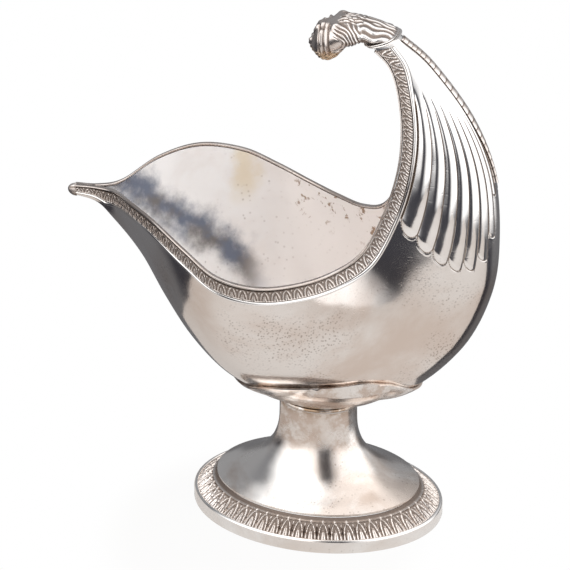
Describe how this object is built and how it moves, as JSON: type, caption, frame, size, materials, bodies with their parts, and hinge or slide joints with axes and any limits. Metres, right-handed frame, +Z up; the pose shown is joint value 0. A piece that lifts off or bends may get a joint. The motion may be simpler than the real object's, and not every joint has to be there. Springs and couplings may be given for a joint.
{
  "type": "sauce boat",
  "caption": "Silver sauce boat on an oval trumpet foot, with a pointed spout, leaf friezes, and a lobed back that curls up into a handle ending in an animal head.",
  "frame": {"origin": "on the table plane, under the centre of the bounding box", "axes": "+Z up from the table, -X towards the spout and +X towards the lobed back, +Y across the bowl"},
  "size_m": [0.1734, 0.097, 0.2199],
  "materials": {
    "polished_silver": "worn polished silver with a faint warm tarnish",
    "frosted_silver": "polished silver, cloudy with wear, frosted and spotted inside the bowl",
    "tarnished_silver": "silver relief, dark oxide in the ground and bright on the leaf edges",
    "cast_silver": "cast and chased silver, darkened in the hollows"
  },
  "bodies": {
    "root": {"foot_wall": "polished_silver", "foot_bead_roll": "polished_silver", "foot_leaf_frieze": "tarnished_silver", "foot_pedestal": "polished_silver", "stem_ring": "polished_silver", "saddle_plate": "polished_silver", "bowl_shell": "frosted_silver", "rim_frieze_near": "tarnished_silver", "rim_frieze_far": "tarnished_silver", "rim_moulding_near": "polished_silver", "rim_moulding_far": "polished_silver", "rim_wire_near": "polished_silver", "rim_wire_far": "polished_silver", "spout_tip": "polished_silver", "spine_strip": "tarnished_silver", "throat_plate": "polished_silver", "collar_ring_lower": "polished_silver", "collar_ring_upper": "polished_silver", "animal_head": "cast_silver"}
  },
  "joints": []
}
